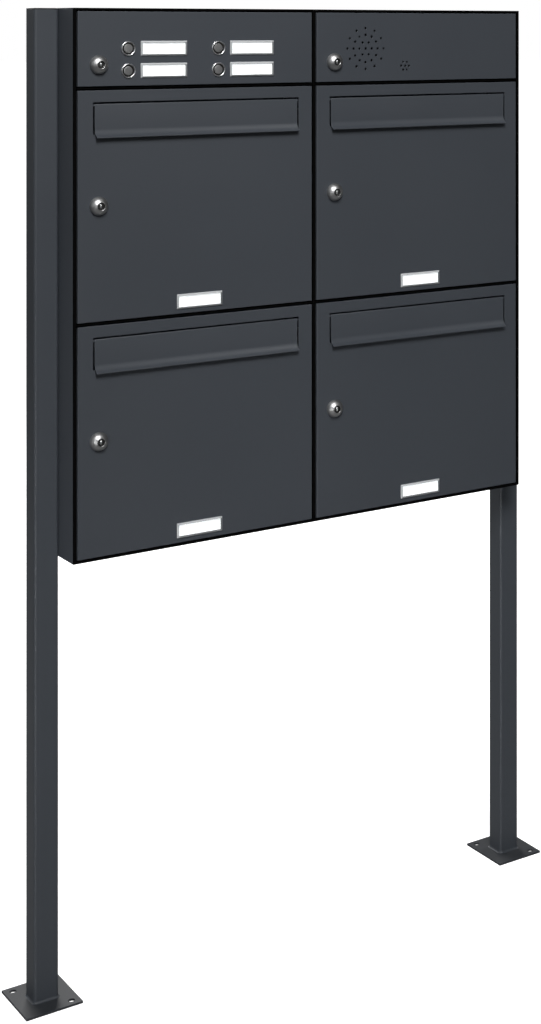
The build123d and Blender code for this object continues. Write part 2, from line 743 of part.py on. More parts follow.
def bell_pieces():
    """The bell panel with all that it carries."""
    plates = [(x + BELL_PLATE_OFFSET, z) for x, z in bell_places()]
    pushes = {f"bell_push_{number}": bell_push(place) for number, place in enumerate(bell_places(), 1)}
    return {
        "bell_door": bell_door(),
        "bell_bezels": bell_bezels(),
        **pushes,
        "bell_switch_board": bell_switch_board(),
        "bell_name_covers": name_covers(plates),
        "bell_name_cards": name_cards(plates),
        **lock_pieces("bell"),
    }


def intercom_pieces():
    """The intercom panel with all that it carries."""
    return {
        "intercom_door": intercom_door(),
        "intercom_speaker": speaker(),
        "intercom_microphone": microphone(),
        **lock_pieces("intercom"),
    }


pieces = {**frame_pieces(), **bell_pieces(), **intercom_pieces()}
for mail_cell in MAIL_CELLS:
    pieces.update(mailbox_pieces(mail_cell))

os.makedirs("parts", exist_ok=True)
for label, piece in pieces.items():
    piece.part.label = label
    export_step(piece.part, f"parts/{label}.step")
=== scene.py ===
"""The looks of the cluster mailbox unit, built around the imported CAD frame.

Metres, +Z up, doors face -Y. Pieces that the CAD keeps simple (letter flaps, locks, bell rings and caps,
name plates, post caps) are rebuilt here as finer meshes in the same place. Every other CAD node keeps
its own mesh and gets a procedural material. Weld beads round the posts' feet and the rivets of the rear
tray are added on the frame body.
"""

import math

import bmesh
import bpy
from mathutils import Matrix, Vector


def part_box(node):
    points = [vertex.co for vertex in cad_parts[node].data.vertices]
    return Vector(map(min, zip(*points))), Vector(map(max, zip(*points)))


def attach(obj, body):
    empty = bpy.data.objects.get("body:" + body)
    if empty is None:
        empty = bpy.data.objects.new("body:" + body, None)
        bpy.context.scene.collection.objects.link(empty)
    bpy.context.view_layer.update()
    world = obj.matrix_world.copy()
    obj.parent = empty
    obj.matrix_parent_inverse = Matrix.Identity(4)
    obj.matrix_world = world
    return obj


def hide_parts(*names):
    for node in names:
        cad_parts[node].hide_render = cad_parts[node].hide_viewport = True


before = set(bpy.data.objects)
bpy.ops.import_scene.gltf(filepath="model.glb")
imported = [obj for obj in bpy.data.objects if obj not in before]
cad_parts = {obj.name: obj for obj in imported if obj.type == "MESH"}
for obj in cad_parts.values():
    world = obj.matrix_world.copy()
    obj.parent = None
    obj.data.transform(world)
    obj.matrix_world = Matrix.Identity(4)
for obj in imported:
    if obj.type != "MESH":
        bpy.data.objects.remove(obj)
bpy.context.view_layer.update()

MM = 0.001
MAIL_CELLS = ("upper_left", "upper_right", "lower_left", "lower_right")
CELLS = MAIL_CELLS + ("bell", "intercom")
BELLS = (1, 2, 3, 4)
DOOR_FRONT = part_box("bell_door")[0].y
SIDE_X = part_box("right_side_panel")[1].x
CASING_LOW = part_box("floor_panel")[0].z
CASING_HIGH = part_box("roof_panel")[1].z
CASING_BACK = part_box("back_panel")[1].y


# ---- material building blocks -------------------------------------------------------------------

RANGE_FIELDS = ("From Min", "From Max", "To Min", "To Max")
MOST_NOISE = (0.3, 0.7)  # the range that holds most values of a noise


def fill(node, names, values):
    """Sets a node's inputs by name."""
    for name, value in zip(names, values):
        node.inputs[name].default_value = value


class Shading:
    """A new node material with its Principled shader, and short calls for the nodes that feed it."""

    def __init__(self, name):
        self.material = bpy.data.materials.new(name)
        self.material.use_nodes = True
        self.nodes = self.material.node_tree.nodes
        self.links = self.material.node_tree.links
        self.shader = self.nodes["Principled BSDF"]
        self.output = self.nodes["Material Output"]
        self.place = self.nodes.new("ShaderNodeTexCoord").outputs["Object"]

    def plug(self, value, socket):
        """Links a socket, or sets a plain value."""
        if isinstance(value, bpy.types.NodeSocket):
            self.links.new(value, socket)
        else:
            socket.default_value = value

    def set(self, **values):
        """Sets inputs of the Principled shader, with underscores for spaces."""
        for name, value in values.items():
            self.plug(value, self.shader.inputs[name.replace("_", " ")])

    def stretched(self, x, y, z):
        """The object's coordinates with each axis scaled."""
        node = self.nodes.new("ShaderNodeMapping")
        node.inputs["Scale"].default_value = (x, y, z)
        self.links.new(self.place, node.inputs["Vector"])
        return node.outputs["Vector"]

    def noise(self, per_metre, detail=2.0, place=None):
        """Noise between 0 and 1, with about this many blotches to the metre."""
        node = self.nodes.new("ShaderNodeTexNoise")
        fill(node, ("Scale", "Detail"), (per_metre, detail))
        self.links.new(place or self.place, node.inputs["Vector"])
        return node.outputs["Fac"]

    def cells(self, per_metre):
        """A random shade for each crystal-like cell."""
        node = self.nodes.new("ShaderNodeTexVoronoi")
        node.inputs["Scale"].default_value = per_metre
        self.links.new(self.place, node.inputs["Vector"])
        shade = self.nodes.new("ShaderNodeRGBToBW")
        self.links.new(node.outputs["Color"], shade.inputs["Color"])
        return shade.outputs["Val"]

    def remap(self, value, old_range, new_range):
        """Maps one range to another, clamped."""
        node = self.nodes.new("ShaderNodeMapRange")
        fill(node, RANGE_FIELDS, old_range + new_range)
        self.links.new(value, node.inputs["Value"])
        return node.outputs["Result"]

    def math(self, operation, a, b):
        """A Math node."""
        node = self.nodes.new("ShaderNodeMath")
        node.operation = operation
        self.plug(a, node.inputs[0])
        self.plug(b, node.inputs[1])
        return node.outputs["Value"]

    def mix(self, share, a, b):
        """Blends colour a into colour b."""
        node = self.nodes.new("ShaderNodeMix")
        node.data_type = "RGBA"
        self.plug(share, node.inputs["Factor"])
        self.plug(a, node.inputs["A"])
        self.plug(b, node.inputs["B"])
        return node.outputs["Result"]

    def soft_edges(self, radius):
        """Normals that round every edge by this radius, and a mask that is 1 along those edges."""
        bevel = self.nodes.new("ShaderNodeBevel")
        bevel.samples = 4
        bevel.inputs["Radius"].default_value = radius
        geometry = self.nodes.new("ShaderNodeNewGeometry")
        turn = self.nodes.new("ShaderNodeVectorMath")
        turn.operation = "DOT_PRODUCT"
        self.links.new(bevel.outputs["Normal"], turn.inputs[0])
        self.links.new(geometry.outputs["True Normal"], turn.inputs[1])
        bent = (0.995, 0.8)  # cosine of the angle between the two normals, from flat to a full edge
        edges = self.remap(turn.outputs["Value"], bent, (0.0, 1.0))
        return bevel.outputs["Normal"], edges

    def bump(self, height, depth, normal=None, strength=1.0):
        """A bump of this depth in metres, on top of an earlier normal."""
        node = self.nodes.new("ShaderNodeBump")
        fill(node, ("Strength", "Distance"), (strength, depth))
        self.links.new(height, node.inputs["Height"])
        if normal:
            self.links.new(normal, node.inputs["Normal"])
        return node.outputs["Normal"]

    def blend(self, share, a, b):
        """Ends the material in a blend of two shaders."""
        node = self.nodes.new("ShaderNodeMixShader")
        self.links.new(share, node.inputs["Fac"])
        self.links.new(a, node.inputs[1])
        self.links.new(b, node.inputs[2])
        self.links.new(node.outputs["Shader"], self.output.inputs["Surface"])


def grey(level):
    """A neutral colour with full alpha."""
    return (level, level, level, 1.0)


def scaled(colour, factor):
    """A colour made lighter or darker."""
    return tuple(min(1.0, c * factor) for c in colour)


def tint(colour, factor):
    """A colour made lighter or darker, with full alpha."""
    return scaled(colour, factor) + (1.0,)


# ---- materials ----------------------------------------------------------------------------------


def powder_coat(name, colour, roughness):
    """Fine matt powder coat: orange peel and grain, faint clouds, and lighter edges that are partly rubbed
    wear and partly a painted highlight.
    """
    wear_and_highlight = 0.8
    s = Shading(name)
    normal, edges = s.soft_edges(0.9 * MM)
    speckle = s.remap(s.noise(1500.0, 1.0), (0.35, 0.65), (0.0, 0.35))
    rubbed = s.remap(s.noise(90.0, 4.0), (0.42, 0.62), (0.15 * wear_and_highlight, wear_and_highlight))
    clouds = s.mix(s.noise(7.0, 3.0), tint(colour, 0.95), tint(colour, 1.05))
    body = s.mix(speckle, clouds, tint(colour, 1.22))
    # Lighter edges: partly rubbed wear, partly a painted highlight standing for light caught along corners
    # such as the posts'.
    body = s.mix(s.math("MULTIPLY", edges, rubbed), body, tint(colour, 1.9))
    handled = s.remap(s.noise(5.0, 4.0), MOST_NOISE, (roughness - 0.04, roughness + 0.05))
    peel = s.bump(s.noise(420.0, 1.0), 0.06 * MM, normal, 0.5)
    grain = s.bump(s.noise(1800.0), 0.04 * MM, peel, 0.6)
    s.set(Base_Color=body, Roughness=handled, Normal=grain)
    return s.material


def black_coat(name, level, roughness, shine=0.25):
    """Matt black paint or plastic, with a fine grain and a little grey on its edges."""
    s = Shading(name)
    normal, edges = s.soft_edges(0.4 * MM)
    rubbed = s.remap(s.noise(160.0), (0.45, 0.6), (0.0, 0.5))
    clouds = s.mix(s.noise(60.0, 3.0), grey(level * 0.8), grey(level * 1.25))
    body = s.mix(s.math("MULTIPLY", edges, rubbed), clouds, grey(level * 2.5))
    rough = s.remap(s.noise(30.0), MOST_NOISE, (roughness - 0.06, roughness + 0.06))
    grain = s.bump(s.noise(1400.0), 0.03 * MM, normal, 0.6)
    s.set(Base_Color=body, Roughness=rough, Normal=grain, Specular_IOR_Level=shine)
    return s.material


def galvanised_sheet(name):
    """Zinc-coated sheet with its spangle of large flat crystals."""
    s = Shading(name)
    normal, _ = s.soft_edges(0.3 * MM)
    spangle = s.cells(140.0)
    dull = s.remap(s.noise(11.0, 5.0), (0.45, 0.7), (0.0, 0.4))
    crystals = s.mix(spangle, (0.42, 0.44, 0.46, 1), (0.66, 0.68, 0.70, 1))
    body = s.mix(dull, crystals, (0.36, 0.37, 0.38, 1))
    facets = s.remap(spangle, (0.0, 1.0), (0.32, 0.5))
    smudges = s.remap(s.noise(300.0), MOST_NOISE, (-0.03, 0.05))
    grain = s.bump(s.noise(220.0, 3.0), 0.05 * MM, normal, 0.4)
    s.set(Base_Color=body, Metallic=0.9, Roughness=s.math("ADD", facets, smudges), Normal=grain)
    return s.material


def plated_metal(name, colour, roughness, per_metre, stain=0.35):
    """Plated or blasted metal: cloudy tone, fine grain, darker stains and bright edges."""
    s = Shading(name)
    normal, edges = s.soft_edges(0.3 * MM)
    stained = s.remap(s.noise(45.0, 5.0), (0.5, 0.72), (0.0, stain))
    clouds = s.mix(s.noise(200.0, 3.0), tint(colour, 0.88), tint(colour, 1.08))
    body = s.mix(stained, clouds, tint(colour, 0.55))
    body = s.mix(s.math("MULTIPLY", edges, 0.5), body, tint(colour, 1.35))
    rough = s.remap(s.noise(500.0, 3.0), MOST_NOISE, (roughness * 0.8, roughness * 1.25))
    grain = s.bump(s.noise(per_metre, 3.0), 0.03 * MM, normal, 0.5)
    s.set(Base_Color=body, Metallic=1.0, Roughness=rough, Normal=grain)
    return s.material


def brushed_dome(name, colour, roughness):
    """Satin chrome: metal with fine turned scratches."""
    s = Shading(name)
    normal, edges = s.soft_edges(0.2 * MM)
    scratches = s.noise(700.0, 4.0, s.stretched(1.0, 9.0, 1.0))
    stained = s.remap(s.noise(130.0, 4.0), (0.55, 0.75), (0.0, 0.3))
    body = s.mix(scratches, tint(colour, 0.86), tint(colour, 1.06))
    body = s.mix(stained, body, tint(colour, 0.6))
    body = s.mix(s.math("MULTIPLY", edges, 0.4), body, tint(colour, 1.3))
    rough = s.remap(scratches, MOST_NOISE, (roughness * 0.75, roughness * 1.3))
    grain = s.bump(scratches, 0.02 * MM, normal, 0.35)
    s.set(Base_Color=body, Metallic=1.0, Roughness=rough, Normal=grain)
    return s.material


def clear_cover(name, tone, clear):
    """Clear plastic: mostly see-through, with a glossy skin that has hairline scratches."""
    s = Shading(name)
    hairline = s.noise(900.0, 4.0, s.stretched(1.0, 1.0, 14.0))
    body = s.mix(hairline, tint(tone, 0.93), tint(tone, 1.05))
    rough = s.remap(hairline, (0.3, 0.75), (0.05, 0.16))
    s.set(Base_Color=body, Roughness=rough, Specular_IOR_Level=0.6)
    s.set(Normal=s.bump(s.noise(260.0), 0.02 * MM, None, 0.3))
    window = s.nodes.new("ShaderNodeBsdfTransparent")
    window.inputs["Color"].default_value = (0.97, 0.98, 0.98, 1)
    haze = s.remap(s.noise(40.0), (0.2, 0.8), (clear + 0.03, clear - 0.03))
    s.blend(haze, s.shader.outputs["BSDF"], window.outputs["BSDF"])
    return s.material


def paper(name):
    """Bright white card with paper fibre, and a faint painted glow that keeps it white under its cover."""
    s = Shading(name)
    fibre = s.noise(600.0, 5.0, s.stretched(1.0, 1.0, 3.0))
    white = s.mix(fibre, grey(0.95), grey(1.0))
    # The card's white is also its emission: a painted glow, as the card is no lamp.
    s.set(Base_Color=white, Emission_Color=white, Emission_Strength=0.45)
    s.set(Roughness=s.remap(fibre, MOST_NOISE, (0.7, 0.85)), Normal=s.bump(fibre, 0.04 * MM, None, 0.3))
    return s.material


def circuit_board(name):
    """Green solder resist over a hatched copper ground that shows through."""
    s = Shading(name)
    normal, edges = s.soft_edges(0.2 * MM)
    hatch = s.nodes.new("ShaderNodeTexBrick")
    hatch.offset = 0.0
    fill(hatch, ("Scale", "Brick Width", "Row Height", "Mortar Size"), (200.0, 0.5, 0.5, 0.05))
    hatch.inputs["Color1"].default_value = (0.008, 0.070, 0.028, 1)
    hatch.inputs["Color2"].default_value = (0.009, 0.080, 0.032, 1)
    hatch.inputs["Mortar"].default_value = (0.014, 0.13, 0.05, 1)
    upright = s.nodes.new("ShaderNodeMapping")
    upright.inputs["Rotation"].default_value = (math.pi / 2, 0, 0)
    s.links.new(s.place, upright.inputs["Vector"])
    s.links.new(upright.outputs["Vector"], hatch.inputs["Vector"])
    flux = s.remap(s.noise(90.0, 3.0), (0.35, 0.7), (0.0, 0.25))
    body = s.mix(flux, hatch.outputs["Color"], (0.004, 0.03, 0.012, 1))
    body = s.mix(s.math("MULTIPLY", edges, 0.6), body, (0.28, 0.24, 0.12, 1))
    rough = s.remap(s.noise(200.0), MOST_NOISE, (0.25, 0.4))
    s.set(Base_Color=body, Roughness=rough, Normal=s.bump(hatch.outputs["Fac"], 0.05 * MM, normal))
    return s.material


def rubber(name, level):
    """Black rubber with a dusty bloom."""
    s = Shading(name)
    bloom = s.remap(s.noise(120.0, 4.0), (0.45, 0.7), (0.0, 0.5))
    body = s.mix(bloom, grey(level), grey(level * 2.2))
    rough = s.remap(bloom, (0.0, 0.5), (0.6, 0.8))
    grain = s.bump(s.noise(900.0, 3.0), 0.05 * MM, None, 0.6)
    s.set(Base_Color=body, Roughness=rough, Normal=grain, Specular_IOR_Level=0.06)
    return s.material


ANTHRACITE = (0.0337, 0.0385, 0.0462)

MATERIALS = {
    "anthracite": powder_coat("anthracite_coat", ANTHRACITE, 0.5),
    # The casing's coat is 1.3 times the doors' tone as painted light, lifting its side walls where the
    # posts shade them.
    "casing_grey": powder_coat("casing_coat_painted_light", scaled(ANTHRACITE, 1.3), 0.52),
    "galvanised": galvanised_sheet("galvanised_sheet"),
    # Black trim, kept near-black and nearly unreflective as painted shade in the gaps between the doors.
    "black_trim": black_coat("black_trim_coat_and_gap_shade", 0.0012, 0.7, 0.03),
    "black_plastic": black_coat("black_plastic_grain", 0.007, 0.45),
    "zinc": plated_metal("zinc_plate", (0.52, 0.52, 0.49), 0.34, 800.0),
    "lock_metal": brushed_dome("satin_chrome", (0.44, 0.44, 0.44), 0.42),
    "polished_steel": plated_metal("polished_steel_ring", (0.90, 0.90, 0.91), 0.30, 1200.0, stain=0.10),
    "push_grey": plated_metal("blasted_push", (0.30, 0.30, 0.30), 0.5, 1500.0),
    "clear_plastic": clear_cover("clear_window", (0.90, 0.92, 0.94), 0.93),
    "white_card": paper("white_card_fibre_and_glow"),
    "circuit_board": circuit_board("green_board"),
    # Black speaker, darkened further as painted shade inside the grille holes.
    "speaker_black": black_coat("speaker_black_grain_and_shade", 0.003, 0.5, 0.05),
    # Black rubber, darkened further as painted shade inside the microphone holes.
    "rubber_black": rubber("rubber_bloom_and_painted_shade", 0.005),
}
# The cover's bevels are nearly opaque light grey: a painted sheen in place of the light that clear chamfers
# bend and reflect.
WINDOW_EDGE_PAINTED_SHEEN = clear_cover("window_edge_painted_sheen", (0.42, 0.43, 0.44), 0.03)
# The base plates' coat is 0.55 of the doors' tone as painted shade, which keeps their upward faces dark.
FOOT_PAINTED_SHADE = powder_coat("foot_plate_coat_painted_shade", scaled(ANTHRACITE, 0.55), 0.6)
# Painted shade for the lock's mouth: near-black metal for the plug's face, and a near-black coat for the
# keyway and the bore.
PLUG_PAINTED_SHADE = brushed_dome("plug_painted_shade", (0.10, 0.10, 0.10), 0.40)
KEYWAY_PAINTED_SHADE = black_coat("keyway_painted_shade", 0.002, 0.6, 0.05)
SHUTTER_STEEL = plated_metal("key_shutter", (0.95, 0.95, 0.95), 0.28, 1500.0, stain=0.05)


def dress_cad_nodes():
    """Gives every CAD node the procedural material of its slot, and the base plates a darker coat as
    painted shade.
    """
    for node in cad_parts.values():
        for place in node.material_slots:
            place.material = MATERIALS[place.material.name]
    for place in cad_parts["base_plates"].material_slots:
        place.material = FOOT_PAINTED_SHADE


dress_cad_nodes()


# ---- mesh building blocks -----------------------------------------------------------------------

ROUND = 96  # points round a turned piece
ROD_ROUND = 24  # points round a thin rod or a rivet


def finish_piece(name, mesh, body, slot, stands_for=(), materials=None, smooth_angle=35.0):
    """Turns a bmesh into a named piece that rides on a body and stands for CAD nodes."""
    bmesh.ops.recalc_face_normals(mesh, faces=mesh.faces)
    data = bpy.data.meshes.new(name)
    mesh.to_mesh(data)
    mesh.free()
    data.shade_smooth()
    data.set_sharp_from_angle(angle=math.radians(smooth_angle))
    for material in materials or (MATERIALS[slot],):
        data.materials.append(material)
    piece = bpy.data.objects.new(name, data)
    bpy.context.scene.collection.objects.link(piece)
    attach(piece, body)
    if stands_for:
        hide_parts(*stands_for)


def loft(mesh, loops, material=0, closed=False):
    """Joins closed loops of equally many points with quads; the ends are capped, or joined if closed."""
    rings = [[mesh.verts.new(point) for point in loop] for loop in loops]
    pairs = list(zip(rings, rings[1:]))
    if closed:
        pairs.append((rings[-1], rings[0]))
    made = []
    for one, two in pairs:
        for i in range(len(one)):
            j = (i + 1) % len(one)
            made.append(mesh.faces.new((one[i], one[j], two[j], two[i])))
    if not closed:
        made.append(mesh.faces.new(rings[0]))
        made.append(mesh.faces.new(rings[-1]))
    for face in made:
        face.material_index = material
    return made


def full_turn(count=ROUND):
    """Equally spaced angles round a full turn."""
    return [2 * math.pi * i / count for i in range(count)]


def circle(x, y, z, radius):
    """Points round a circle that faces the Y axis."""
    return [Vector((x + radius * math.cos(t), y, z + radius * math.sin(t))) for t in full_turn()]


def turned(mesh, x, z, profile, closed=False):
    """A piece turned about the Y axis through (x, z); the profile holds (radius, y)."""
    return loft(mesh, [circle(x, y, z, radius) for radius, y in profile], closed=closed)


def rounded_rectangle(width, height, corner, per_corner=6):
    """Points (a, b) round a rectangle with round corners."""
    points = []
    for quarter, (sx, sy) in enumerate(((1, 1), (-1, 1), (-1, -1), (1, -1))):
        cx = sx * (width / 2 - corner)
        cy = sy * (height / 2 - corner)
        for step in range(per_corner + 1):
            turn = math.pi / 2 * (quarter + step / per_corner)
            points.append((cx + corner * math.cos(turn), cy + corner * math.sin(turn)))
    return points


def arc(cx, cy, radius, start, end, steps):
    """Points along an arc, angles in degrees."""
    turns = [math.radians(start + (end - start) * i / steps) for i in range(steps + 1)]
    return [(cx + radius * math.cos(t), cy + radius * math.sin(t)) for t in turns]


def middle(node):
    """The centre of a CAD node's box."""
    low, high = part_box(node)
    return (low + high) / 2


# ---- letter flaps -------------------------------------------------------------------------------

FLAP_SHEET = 1.5 * MM
FLAP_HEM = 2.5 * MM  # radius of the roll round the rod
FLAP_CURVE = 12.5 * MM  # inside radius of the grip lip
FLAP_BROW = 1.2 * MM  # round of the front's upper edge
LIP_STEPS = 24
RIM_STEPS = 8
ROD_RADIUS = 1.5 * MM
ROD_DEPTH = 3.2 * MM  # rod behind the door's face
CHEEK = 5.5 * MM  # rod beyond each end of the sheet


def flap_outline(low, high):
    """Points (y, z) round the flap's sheet: face, grip lip with a round rim, back and rolled hem."""
    rim_room = 0.7 * MM  # how much further out the rim reaches than the lip's curve
    reach = DOOR_FRONT - low.y - rim_room
    lip = math.degrees(math.acos(1 - reach / FLAP_CURVE))
    end = math.radians(-lip)
    centre_y = DOOR_FRONT - FLAP_CURVE
    centre_z = low.z + (FLAP_CURVE + FLAP_SHEET) * math.sin(math.radians(lip))
    rim = FLAP_SHEET / 2
    rim_y = centre_y + (FLAP_CURVE + rim) * math.cos(end)
    rim_z = centre_z + (FLAP_CURVE + rim) * math.sin(end)
    rod_z = high.z - FLAP_HEM
    hem_foot = rod_z - 1.3 * FLAP_HEM  # where the back of the sheet meets the hem
    outline = [(DOOR_FRONT, high.z - FLAP_BROW)]
    outline += arc(centre_y, centre_z, FLAP_CURVE, 0, -lip, LIP_STEPS)
    for step in range(RIM_STEPS - 1, 0, -1):
        turn = end - math.pi * step / RIM_STEPS
        outline.append((rim_y + rim * math.cos(turn), rim_z + rim * math.sin(turn)))
    outline += arc(centre_y, centre_z, FLAP_CURVE + FLAP_SHEET, -lip, 0, LIP_STEPS)
    outline += [(DOOR_FRONT + FLAP_SHEET, hem_foot)]
    outline += arc(DOOR_FRONT + ROD_DEPTH, rod_z, FLAP_HEM, -130, 90, 22)
    outline += arc(DOOR_FRONT + FLAP_BROW, high.z - FLAP_BROW, FLAP_BROW, 90, 165, 6)
    return outline


def pulled_in(point, centre, amount):
    """A profile point (y, z) moved a little toward the profile's own middle."""
    away = Vector((0, point[0], point[1])) - centre
    moved = centre + away * (1 - amount / max(away.length, amount))
    return moved.y, moved.z


def rod_loop(x, y, z, radius):
    """Points round a circle that faces the X axis."""
    turns = full_turn(ROD_ROUND)
    return [Vector((x, y + radius * math.cos(t), z + radius * math.sin(t))) for t in turns]


def letter_flap(cell):
    """Sheet flap with a rolled hem round its rod, and a grip lip that curls outward below."""
    low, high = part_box(f"{cell}_flap")
    outline = flap_outline(low, high)
    count = len(outline)
    centre = Vector((0, sum(y for y, z in outline) / count, sum(z for y, z in outline) / count))
    left, right = low.x + CHEEK, high.x - CHEEK
    soft = 0.35 * MM  # rounding of the sheet's cut ends
    insets = ((0.0, soft), (soft * 0.3, soft * 0.3), (soft, 0.0))
    mesh = bmesh.new()
    loops = []
    for inward, shrink in insets:
        loops.append([Vector((left + inward, *pulled_in(p, centre, shrink))) for p in outline])
    for inward, shrink in reversed(insets):
        loops.append([Vector((right - inward, *pulled_in(p, centre, shrink))) for p in outline])
    loft(mesh, loops)
    tip = 0.4 * MM
    rod_ends = ((low.x, ROD_RADIUS - tip), (low.x + tip, ROD_RADIUS))
    rod_ends += ((high.x - tip, ROD_RADIUS), (high.x, ROD_RADIUS - tip))
    rod_y, rod_z = DOOR_FRONT + ROD_DEPTH, high.z - FLAP_HEM
    loft(mesh, [rod_loop(x, rod_y, rod_z, radius) for x, radius in rod_ends])
    finish_piece(f"{cell}_flap_sheet", mesh, f"{cell}_letter_flap", "anthracite", (f"{cell}_flap",))


# ---- nuts and threads ---------------------------------------------------------------------------

NUT_FRONT = DOOR_FRONT + 1.55 * MM  # nuts sit on the back of the door's sheet
NUT_PLAY = 0.1 * MM


def threaded(inner, barrel, back, end, pitch, chamfer, depth):
    """Profile of a barrel from its back rim forward along its thread, which stops at the end."""
    profile = [(inner, back), (barrel - chamfer, back), (barrel, back - chamfer)]
    y = back - pitch
    while y > end:
        profile += [(barrel - depth, y), (barrel, y - pitch / 2)]
        y -= pitch
    return profile


def hexagon_radius(turn, flats):
    """How far a hexagon's edge lies from its centre at this angle."""
    sixth = math.pi / 3
    return flats / 2 / math.cos((turn % sixth) - sixth / 2)


def nut(mesh, x, z, flats, hole, height):
    """A hexagonal nut behind the door's sheet, with its corners chamfered."""
    rounded = flats / 2 * 1.06  # radius that cuts the corners off
    uncut = flats
    chamfer = 0.5 * MM
    back = NUT_FRONT + height

    def outer(y, limit):
        radii = [min(hexagon_radius(t, flats), limit) for t in full_turn()]
        return [Vector((x + r * math.cos(t), y, z + r * math.sin(t))) for r, t in zip(radii, full_turn())]

    loops = [circle(x, NUT_FRONT, z, hole), outer(NUT_FRONT, rounded), outer(NUT_FRONT + chamfer, uncut)]
    loops += [outer(back - chamfer, uncut), outer(back, rounded), circle(x, back, z, hole)]
    loft(mesh, loops, closed=True)


# ---- locks --------------------------------------------------------------------------------------

LOCK_BACK = DOOR_FRONT + 18.0 * MM
LOCK_BORE = 5.05 * MM
LOCK_MOUTH = 5.4 * MM
LOCK_BARREL = 9.4 * MM
DOME_RADIUS = 13.25 * MM
DOME_FOOT = 0.6 * MM  # straight rim below the dome
DOME_STEPS = 24
KEY_WIDTH = 3.0 * MM
KEY_HEIGHT = 6.2 * MM
KEY_DEPTH = 9.0 * MM
SHUTTER_PROUD = 1.1 * MM  # how far the keyway's shutter stands out of the plug's face
DARK, FRONT, SHUTTER = 1, 2, 3  # material numbers in a lock's pieces; 0 is the lock metal; the dark keyway and bore and the dark plug face are painted shade


def lock_body(cell):
    """Domed lock case with a countersunk mouth, a threaded barrel and its nut."""
    centre = middle(f"{cell}_lock_plug")
    x, z = centre.x, centre.z
    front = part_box(f"{cell}_lock_housing")[0].y
    thread_end = DOOR_FRONT + 6.5 * MM
    profile = threaded(LOCK_BORE, LOCK_BARREL, LOCK_BACK, thread_end, 1.0 * MM, 0.6 * MM, 0.45 * MM)
    profile += [(LOCK_BARREL, DOOR_FRONT), (DOME_RADIUS - 0.2 * MM, DOOR_FRONT)]
    profile += [(DOME_RADIUS, DOOR_FRONT - 0.25 * MM)]
    edge_turn = math.acos((LOCK_MOUTH + 0.3 * MM) / DOME_RADIUS)
    height = (DOOR_FRONT - DOME_FOOT - front) / math.sin(edge_turn)
    for i in range(DOME_STEPS + 1):
        turn = edge_turn * i / DOME_STEPS
        profile.append((DOME_RADIUS * math.cos(turn), DOOR_FRONT - DOME_FOOT - height * math.sin(turn)))
    profile += [(LOCK_MOUTH, front + 0.15 * MM), (LOCK_BORE + 0.15 * MM, front + 0.6 * MM)]
    profile += [(LOCK_BORE, front + 1.2 * MM)]
    mesh = bmesh.new()
    faces = turned(mesh, x, z, profile, closed=True)
    # The bore's wall gets painted shade.
    for bore_face in faces[-3 * ROUND:]:
        bore_face.material_index = DARK
    nut(mesh, x, z, 24.0 * MM, LOCK_BARREL + NUT_PLAY, 4.0 * MM)
    materials = (MATERIALS["lock_metal"], KEYWAY_PAINTED_SHADE)
    stands_for = (f"{cell}_lock_housing",)
    finish_piece(f"{cell}_lock_case", mesh, f"{cell}_door_leaf", "lock_metal", stands_for, materials)


def flattened(value):
    """Turns a circle's sine or cosine into a rounded rectangle's."""
    squareness = 1.35
    return max(-1.0, min(1.0, value * squareness))


def rounded_slot(x, y, z, width, height):
    """Points round a rectangle with round corners that faces the Y axis."""
    half_width, half_height = width / 2, height / 2
    points = []
    for t in full_turn():
        across = half_width * flattened(math.cos(t))
        up = half_height * flattened(math.sin(t))
        points.append(Vector((x + across, y, z + up)))
    return points


def lock_core(cell):
    """Turning plug with a keyway, its collar, and the square tail that carries the cam."""
    low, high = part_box(f"{cell}_lock_plug")
    centre = (low + high) / 2
    x, z = centre.x, centre.z
    nose = 3.0 * MM  # how far the plug's face comes forward inside the mouth
    face, tail = low.y - nose, high.y
    radius, collar, square = 5.0 * MM, 6.5 * MM, 6.0 * MM
    collar_front = DOOR_FRONT + 18.3 * MM
    cam_front = DOOR_FRONT + 20.0 * MM
    key_edge = 0.25 * MM
    groove = 0.12 * MM
    loops = [
        rounded_slot(x, face + KEY_DEPTH, z, KEY_WIDTH, KEY_HEIGHT),
        rounded_slot(x, face + key_edge, z, KEY_WIDTH, KEY_HEIGHT),
        rounded_slot(x, face, z, KEY_WIDTH + 2 * key_edge, KEY_HEIGHT + 2 * key_edge),
        circle(x, face, z, radius * 0.72),
        circle(x, face + groove, z, radius * 0.78),
        circle(x, face + groove, z, radius * 0.84),
        circle(x, face, z, radius - 0.4 * MM),
        circle(x, face + 0.4 * MM, z, radius),
        circle(x, collar_front, z, radius),
        circle(x, collar_front, z, collar),
        circle(x, cam_front, z, collar),
        rounded_slot(x, cam_front, z, square, square),
        rounded_slot(x, tail, z, square, square),
    ]
    mesh = bmesh.new()
    faces = loft(mesh, loops)
    # Keyway and plug face get painted shade, as they lie in the shade of the mouth.
    keyway = faces[:ROUND] + [faces[-2]]
    front = faces[ROUND:7 * ROUND]
    for face_in_dark in keyway:
        face_in_dark.material_index = DARK
    for face_in_front in front:
        face_in_front.material_index = FRONT
    key_shutter(mesh, x, face - SHUTTER_PROUD, z)
    materials = (MATERIALS["lock_metal"], KEYWAY_PAINTED_SHADE, PLUG_PAINTED_SHADE, SHUTTER_STEEL)
    stands_for = (f"{cell}_lock_plug",)
    finish_piece(f"{cell}_lock_core", mesh, f"{cell}_lock", "lock_metal", stands_for, materials)


